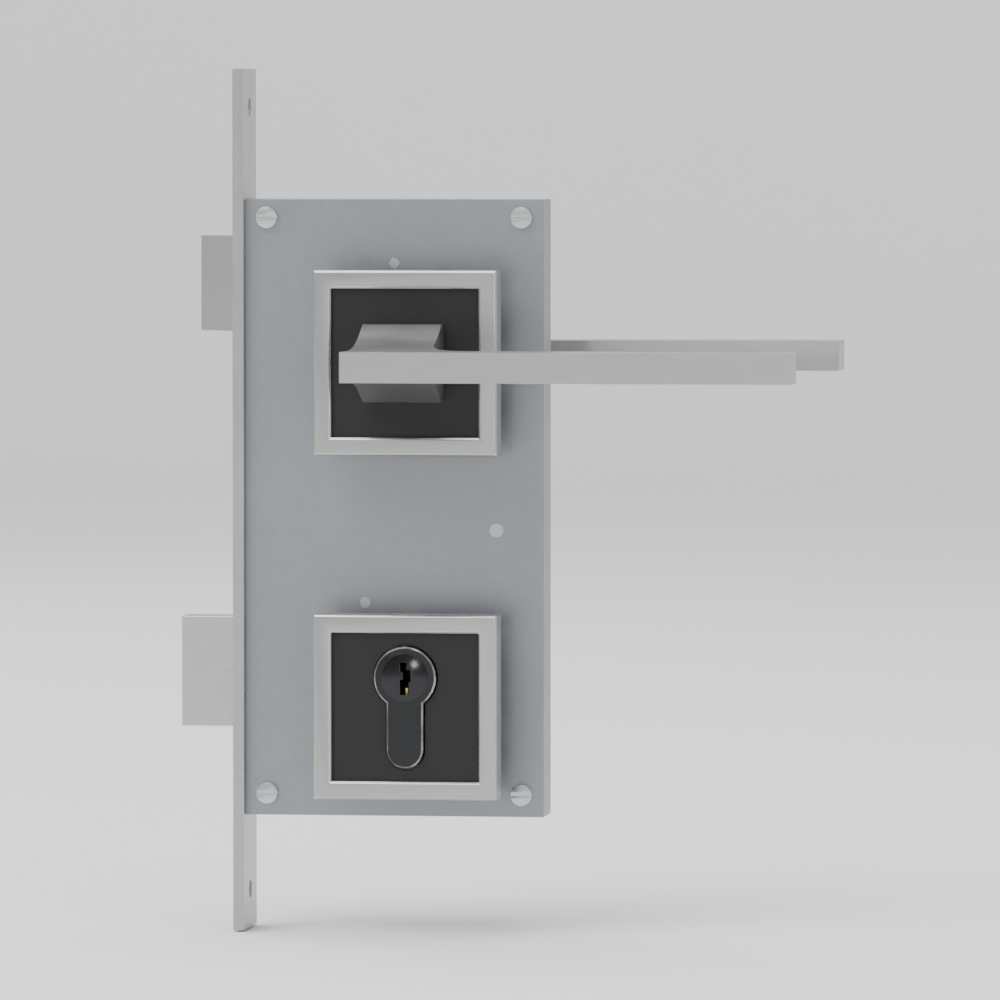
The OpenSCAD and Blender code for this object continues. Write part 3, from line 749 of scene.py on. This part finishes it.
class LockFinish(bpy.types.PropertyGroup):
    """Colours of the lock's finishes"""

    nickel: bpy.props.FloatVectorProperty(
        name="Satin nickel", description="Colour of the levers and frames",
        subtype="COLOR", size=3, min=0, max=1, default=(0.399, 0.394, 0.389),
    )
    black: bpy.props.FloatVectorProperty(
        name="Black nickel", description="Colour of the sunk inserts",
        subtype="COLOR", size=3, min=0, max=1, default=(0.020, 0.019, 0.0185),
    )
    steel: bpy.props.FloatVectorProperty(
        name="Zinc plate", description="Colour of the pressed case",
        subtype="COLOR", size=3, min=0, max=1, default=(0.27, 0.282, 0.30),
    )
    brass: bpy.props.FloatVectorProperty(
        name="Brass", description="Colour of the pins in the cylinder",
        subtype="COLOR", size=3, min=0, max=1, default=(0.72, 0.50, 0.20),
    )
    cylinder: bpy.props.FloatVectorProperty(
        name="Cylinder", description="Colour of the profile cylinder",
        subtype="COLOR", size=3, min=0, max=1, default=(0.026, 0.027, 0.028),
    )
    plug: bpy.props.FloatVectorProperty(
        name="Plug", description="Colour of the cylinder's plugs",
        subtype="COLOR", size=3, min=0, max=1, default=(0.036, 0.037, 0.039),
    )


class LockSizes(bpy.types.PropertyGroup):
    """Sizes of the lock's finer shapes"""

    lever_edge: bpy.props.FloatProperty(
        name="Lever edge", description="Rounding along the lever's edges",
        unit="LENGTH", default=0.00045, min=0.0001, max=0.001,
    )
    trim_edge: bpy.props.FloatProperty(
        name="Trim edge", description="Rounding along the frames' edges",
        unit="LENGTH", default=0.0002, min=0.00005, max=0.0004,
    )
    case_edge: bpy.props.FloatProperty(
        name="Case edge", description="Rounding along the case's and the bolts' edges",
        unit="LENGTH", default=0.0003, min=0.00005, max=0.0006,
    )
    spring_turns: bpy.props.FloatProperty(
        name="Spring turns", description="Turns of the latch and follower springs",
        default=9.0, min=4.0, max=12.0,
    )
    cylinder_chamfer: bpy.props.FloatProperty(
        name="Cylinder chamfer", description="Chamfer round both ends of the cylinder's housing",
        unit="LENGTH", default=0.0005, min=0.0001, max=0.0008,
    )
    plug_dome: bpy.props.FloatProperty(
        name="Plug dome", description="Height of the dome on the outer plug's face",
        unit="LENGTH", default=0.00042, min=0.0001, max=0.0008,
    )
    grip_edge: bpy.props.FloatProperty(
        name="Grip edge", description="Rounding along the thumb turn's grip",
        unit="LENGTH", default=0.0016, min=0.0002, max=0.003,
    )


class LockStage(bpy.types.PropertyGroup):
    """Floor, light and camera"""

    azimuth: bpy.props.FloatProperty(
        name="Azimuth", description="Bearing of the camera, from straight in front",
        subtype="ANGLE", default=math.radians(7.6),
    )
    elevation: bpy.props.FloatProperty(
        name="Elevation", description="Angle of the camera above the horizon",
        subtype="ANGLE", default=math.radians(2.4),
    )
    distance: bpy.props.FloatProperty(
        name="Distance", description="Distance from the camera to the lock",
        unit="LENGTH", default=2.5, min=0.3,
    )
    margin: bpy.props.FloatProperty(
        name="Margin", description="Room round the lock, as a share of its half height",
        default=1.16, min=1.0,
    )
    floor_radius: bpy.props.FloatProperty(
        name="Floor radius", description="Distance from the lock to the floor's raised rim",
        unit="LENGTH", default=5.0, min=3.0,
    )
    floor_colour: bpy.props.FloatVectorProperty(
        name="Floor", description="Colour of the floor and of the wall behind",
        subtype="COLOR", size=3, min=0, max=1, default=(0.84, 0.84, 0.835),
    )
    light_power: bpy.props.FloatProperty(
        name="Light", description="Power of the main soft light, in watts",
        default=30.0, min=0,
    )
    sky_power: bpy.props.FloatProperty(
        name="Sky", description="Strength of the even light from above",
        default=1.9, min=0,
    )


# ---- Operators ----


class LOCK_OT_levers(bpy.types.Operator):
    """Rounds over the two levers, and finishes what holds them"""

    bl_idname = "lock.levers"
    bl_label = "Levers"

    def execute(self, context):
        sizes = context.scene.lock_sizes
        soften_nodes(both("lever"), sizes.lever_edge, 4)
        soften_nodes(both("lever_ring"), FINE_EDGE, 2)
        soften_nodes(both("lever_bush"), SMALL_EDGE, 3)
        soften_nodes(["spindle"], BAR_EDGE, 3)
        return {"FINISHED"}


class LOCK_OT_trim(bpy.types.Operator):
    """Rounds over the frames, the inserts and their bases"""

    bl_idname = "lock.trim"
    bl_label = "Roses and escutcheons"

    def execute(self, context):
        edge = context.scene.lock_sizes.trim_edge
        soften_nodes(both("rose_frame", "escutcheon_frame"), edge, 3)
        soften_nodes(both("rose_insert", "escutcheon_insert"), FINE_EDGE, 2)
        soften_nodes(both("rose_base", "escutcheon_base"), CAST_EDGE, 3)
        return {"FINISHED"}


class LOCK_OT_case(bpy.types.Operator):
    """Rounds over the forend, the case and its pins"""

    bl_idname = "lock.case"
    bl_label = "Forend and case"

    def execute(self, context):
        edge = context.scene.lock_sizes.case_edge
        soften_nodes(["forend", "case_body", "case_cover"], edge, 3)
        soften_nodes(["forend_rivets", "guide_pins"], FINE_EDGE, 2)
        return {"FINISHED"}


class LOCK_OT_mechanism(bpy.types.Operator):
    """Rounds over the latch, the follower, the deadbolt and the tumbler"""

    bl_idname = "lock.mechanism"
    bl_label = "Mechanism"

    def execute(self, context):
        edge = context.scene.lock_sizes.case_edge
        soften_nodes(["latch_bolt", "deadbolt", "follower", "bolt_tumbler"], edge, 3)
        soften_nodes(["follower_bushes"], SMALL_EDGE, 2)
        return {"FINISHED"}


# Node, axis, radius of the wire, turns more than the latch spring has, and springs in the row
SPRINGS = (
    ("latch_spring", "x", 0.0005, 0, 1),
    ("follower_spring", "x", 0.0005, 0, 1),
    ("tumbler_spring", "z", 0.0004, -1, 1),
    ("pin_springs", "z", 0.0002, 4, PIN_COUNT),
)

# Spring, the joint meant to shorten it, its axis, its fixed end, and its length at the joint's limit
SQUEEZES = (
    ("latch_spring", "latch_slide", (1, 0, 0), (0.039, 0, 0), 0.55),
    ("follower_spring", "lever_turn", (1, 0, 0), (0.024, 0, 0), 0.56),
    ("tumbler_spring", "tumbler_lift", (0, 0, 1), (0, 0, 0), 0.87),
)


class LOCK_OT_springs(bpy.types.Operator):
    """Winds the springs, and gives each one in the squeeze table a mesh of its own"""

    bl_idname = "lock.springs"
    bl_label = "Springs"

    def execute(self, context):
        turns = context.scene.lock_sizes.spring_turns
        wound = {}
        for node, axis, wire, more, count in SPRINGS:
            mesh = spring_mesh(node, axis, wire, turns + more, count)
            wound[node] = add_piece(node + "_wound", mesh, node)
        for node, joint, axis, fixed_end, share in SQUEEZES:
            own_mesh(wound[node])
        return {"FINISHED"}


# Node, axis, outer radius, pitch, and the thread's distances from its lower and upper end
SCREWS = (
    ("rose_bolts", "y", 0.0020, 0.0007, (0.0004, 0.0140)),
    ("escutcheon_screws_outside", "y", 0.00175, 0.0011, (0.0045, 0.0030)),
    ("escutcheon_screws_inside", "y", 0.00175, 0.0011, (0.0030, 0.0045)),
    ("case_screws", "y", 0.0016, 0.0005, (0.0035, 0.0003)),
    ("cylinder_screw", "x", 0.00248, 0.0008, (0.0220, 0.0006)),
    ("lever_grub_outside", "z", 0.00198, 0.0006, (0.0003, 0.0004)),
    ("lever_grub_inside", "z", 0.00198, 0.0006, (0.0003, 0.0004)),
    ("thumb_turn_screw", "x", 0.00148, 0.0005, (0.0002, 0.0003)),
)


class LOCK_OT_screws(bpy.types.Operator):
    """Cuts real threads on the screws, bolts and grub screws"""

    bl_idname = "lock.screws"
    bl_label = "Screws"

    def execute(self, context):
        for node, axis, radius, pitch, margins in SCREWS:
            mesh = threaded(node, axis, radius, pitch, margins)
            add_piece(node + "_threaded", mesh, node)
        soften_nodes(["rose_sleeves"], FINE_EDGE, 2)
        return {"FINISHED"}


def chamfered_bar(name, x, y, heights, radius, length, chamfer, segments=96):
    """A bar along y, round or drawn out between two heights, with both ends chamfered."""
    rings = (
        (radius - chamfer, 0), (radius, chamfer),
        (radius, length - chamfer), (radius - chamfer, length),
    )
    bm = bmesh.new()
    for height in heights:
        for ring, along in rings:
            for i in range(segments):
                angle = TURN * i / segments
                bm.verts.new(
                    (x + ring * math.cos(angle), y + along, height + ring * math.sin(angle))
                )
    hull = bmesh.ops.convex_hull(bm, input=bm.verts)
    inner = [item for item in hull["geom_interior"] if isinstance(item, bmesh.types.BMVert)]
    bmesh.ops.delete(bm, geom=inner, context="VERTS")
    return from_bmesh(bm, name)


def chamfered_profile(low, high, chamfer):
    """The cylinder's outline as a solid along y, with chamfers at both ends."""
    barrel, length = (high.x - low.x) / 2, high.y - low.y
    middle = (low.x + high.x) / 2
    top, bottom = high.z - barrel, low.z + STEM_RADIUS
    round_part = chamfered_bar("Round", middle, low.y, [top], barrel + HAIR, length, chamfer)
    stem = chamfered_bar(
        "Stem", middle, low.y, [top, bottom], STEM_RADIUS + HAIR, length, chamfer
    )
    return combined(round_part, stem, "UNION")


def rub_and_highlight_rims(mesh, low, high, depth):
    """Marks the slanted faces near both ends along y as worn edges, which also paint a highlight
    along the cylinder's rims.
    """
    edge = mesh.attributes["edge"]
    for face in mesh.polygons:
        from_end = min(face.center.y - low.y, high.y - face.center.y)
        if from_end < depth and 0.2 < abs(face.normal.y) < 0.98:
            edge.data[face.index].value = 1.0


def domed_plug(depth):
    """The outer plug, with a face that falls away from its middle by a depth at the rim."""
    low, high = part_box("outer_plug")
    centre = (low + high) / 2
    overlap, steps, past = 0.0005, 16, 0.002
    rim = (high.x - low.x) / 2 + overlap
    dome = [(rim * i / steps, HAIR - depth * (i / steps) ** 2) for i in range(steps + 1)]
    around = lathe("Around", dome + [(rim, past), (0, past)], 96)
    place = Matrix.Translation((centre.x, low.y, centre.z))
    around.transform(place @ Matrix.Rotation(TURN / 4, 4, "X"))
    return combined(node_copy("outer_plug"), around, "DIFFERENCE")


class LOCK_OT_cylinder(bpy.types.Operator):
    """Chamfers the profile cylinder, and domes the face of its outer plug"""

    bl_idname = "lock.cylinder"
    bl_label = "Cylinder"

    def execute(self, context):
        sizes = context.scene.lock_sizes
        chamfer = sizes.cylinder_chamfer
        low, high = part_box("cylinder_body")
        profile = chamfered_profile(low, high, chamfer)
        body = combined(node_copy("cylinder_body"), profile, "INTERSECT")
        body = softened(body, FINE_EDGE, 2)
        # The chamfers take the unplated colour: wear, and a painted highlight along the rims.
        rub_and_highlight_rims(body, low, high, chamfer)
        add_piece("cylinder_body_finished", body, "cylinder_body")
        plug = softened(domed_plug(sizes.plug_dome), PLUG_EDGE, 4)
        add_piece("outer_plug_domed", plug, "outer_plug")
        soften_nodes(["inner_plug", "cylinder_cam", "cam_clutch"], SMALL_EDGE, 3)
        soften_nodes(both("plug_clip"), FINE_EDGE, 2)
        return {"FINISHED"}


def pin_mesh(node, tip, tail):
    """Turned pins in a row; tip and tail are the chamfers at their top and bottom."""
    low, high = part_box(node)
    size = high - low
    radius = size.x / 2
    neck = radius - 0.0001
    waist = ((radius, 0.42), (neck, 0.45), (neck, 0.55), (radius, 0.58))
    outline = [(0, 0), (radius - tail, 0), (radius - tail / 3, tail / 3), (radius, tail)]
    outline += [(wide, size.z * share) for wide, share in waist]
    outline += [(radius, size.z - tip), (radius - tip, size.z), (0, size.z)]
    step = (size.y - size.x) / (PIN_COUNT - 1)
    row = {"Count": PIN_COUNT, "Step": (0, step, 0)}
    mesh = grown("Row", finish_of(node), row, lathe(node, outline, 32))
    mesh.transform(Matrix.Translation((low.x + radius, low.y + radius, low.z)))
    return shade(mesh)


# Node, and the chamfers at its pins' tops and bottoms
PINS = (
    ("key_pins", 0.0007, 0.0002),
    ("driver_pins", 0.0002, 0.0003),
    ("chamber_plugs", 0.0002, 0.0002),
)


class LOCK_OT_pins(bpy.types.Operator):
    """Turns the pins and chamber plugs of the cylinder, five in a row"""

    bl_idname = "lock.pins"
    bl_label = "Cylinder pins"

    def execute(self, context):
        for node, tip, tail in PINS:
            add_piece(node + "_turned", pin_mesh(node, tip, tail), node)
        return {"FINISHED"}


def thumb_turn_mesh(half_z, disc, tall, grip_edge):
    """The thumb turn standing along z: a plate, a boss and a grip, with its socket and bore."""
    rim_edge = 0.0007
    plate_tall, plate_edge = 0.0025, 0.0002
    boss_radius, boss_start, boss_top = 0.0066, 0.0005, tall - 0.004
    grip_half, grip_start = 0.00375, 0.002
    socket_half, socket_start, socket_end, socket_edge = 0.00305, -0.001, 0.0114, 0.00001
    bore_radius, bore_long, bore_height = 0.0015, 0.01, 0.006
    rim = [
        (rim_edge * math.sin(TURN * i / 24), rim_edge * math.cos(TURN * i / 24)) for i in range(7)
    ]
    plate = [(0, 0), (disc - plate_edge, 0), (disc, plate_edge)]
    plate += [(disc - rim_edge + b, plate_tall - rim_edge + a) for a, b in rim]
    boss = [(0, boss_start), (boss_radius, boss_start)]
    boss += [(boss_radius - rim_edge + b, boss_top - rim_edge + a) for a, b in rim]
    grip = rounded_box(
        "thumb_turn", (-grip_half, -half_z, grip_start), (grip_half, half_z, tall), grip_edge, 6,
    )
    mesh = combined(grip, lathe("Boss", boss + [(0, boss_top)], 96), "UNION")
    mesh = combined(mesh, lathe("Plate", plate + [(0, plate_tall)], 96), "UNION")
    socket = rounded_box(
        "Socket", (-socket_half, -socket_half, socket_start),
        (socket_half, socket_half, socket_end), socket_edge,
    )
    mesh = combined(mesh, socket, "DIFFERENCE")
    bore = lathe("Bore", [(0, 0), (bore_radius, 0), (bore_radius, bore_long), (0, bore_long)])
    bore.transform(stand_along("x", Vector((0, 0, bore_height))))
    return combined(mesh, bore, "DIFFERENCE")


class LOCK_OT_thumb_turn(bpy.types.Operator):
    """Builds the rounded thumb turn on the inside"""

    bl_idname = "lock.thumb_turn"
    bl_label = "Thumb turn"

    def execute(self, context):
        low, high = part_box("thumb_turn")
        middle, size = (low + high) / 2, high - low
        grip_edge = context.scene.lock_sizes.grip_edge
        mesh = thumb_turn_mesh(size.z / 2, size.x / 2, size.y, grip_edge)
        mesh.transform(stand_along("y", Vector((middle.x, low.y, middle.z))))
        turn = softened(mesh, SMALL_EDGE, 3, 40.0)
        add_piece("thumb_turn_rounded", turn, "thumb_turn")
        return {"FINISHED"}


class LOCK_OT_stage(bpy.types.Operator):
    """Sets the floor, the lights and the camera"""

    bl_idname = "lock.stage"
    bl_label = "Stage"

    def execute(self, context):
        stage = context.scene.lock_stage
        low, high = CAD_BOX
        centre = (low + high) / 2
        add_camera(stage, centre, (high - low).z / 2)
        round_floor(stage, centre, low.z - FLOOR_GAP)
        for name, place, size, share in LIGHTS:
            area_light(name, place, centre, size, stage.light_power * share)
        add_sky(stage.sky_power)
        return {"FINISHED"}


class LOCK_PT_panel(bpy.types.Panel):
    """Lists the lock's settings and its operators"""

    bl_label = "Sash Lock"
    bl_idname = "LOCK_PT_panel"
    bl_space_type = "VIEW_3D"
    bl_region_type = "UI"
    bl_category = "Sash Lock"

    def draw(self, context):
        layout = self.layout
        scene = context.scene
        for group in (scene.lock_finish, scene.lock_sizes, scene.lock_stage):
            for key in group.__annotations__:
                layout.prop(group, key)
        for operator in OPERATORS:
            layout.operator(operator.bl_idname)


OPERATORS = (
    LOCK_OT_levers, LOCK_OT_trim, LOCK_OT_case, LOCK_OT_mechanism, LOCK_OT_springs,
    LOCK_OT_screws, LOCK_OT_cylinder, LOCK_OT_pins, LOCK_OT_thumb_turn, LOCK_OT_stage,
)
CLASSES = (LockFinish, LockSizes, LockStage) + OPERATORS + (LOCK_PT_panel,)


def register():
    """Adds the classes and their settings to the scene."""
    for item in CLASSES:
        bpy.utils.register_class(item)
    bpy.types.Scene.lock_finish = bpy.props.PointerProperty(type=LockFinish)
    bpy.types.Scene.lock_sizes = bpy.props.PointerProperty(type=LockSizes)
    bpy.types.Scene.lock_stage = bpy.props.PointerProperty(type=LockStage)


def unregister():
    """Takes them away again."""
    del bpy.types.Scene.lock_stage
    del bpy.types.Scene.lock_sizes
    del bpy.types.Scene.lock_finish
    for item in reversed(CLASSES):
        bpy.utils.unregister_class(item)


def main():
    """Builds every piece and the stage."""
    register()
    for operator in OPERATORS:
        group, name = operator.bl_idname.split(".")
        getattr(getattr(bpy.ops, group), name)()


if __name__ == "__main__":
    main()
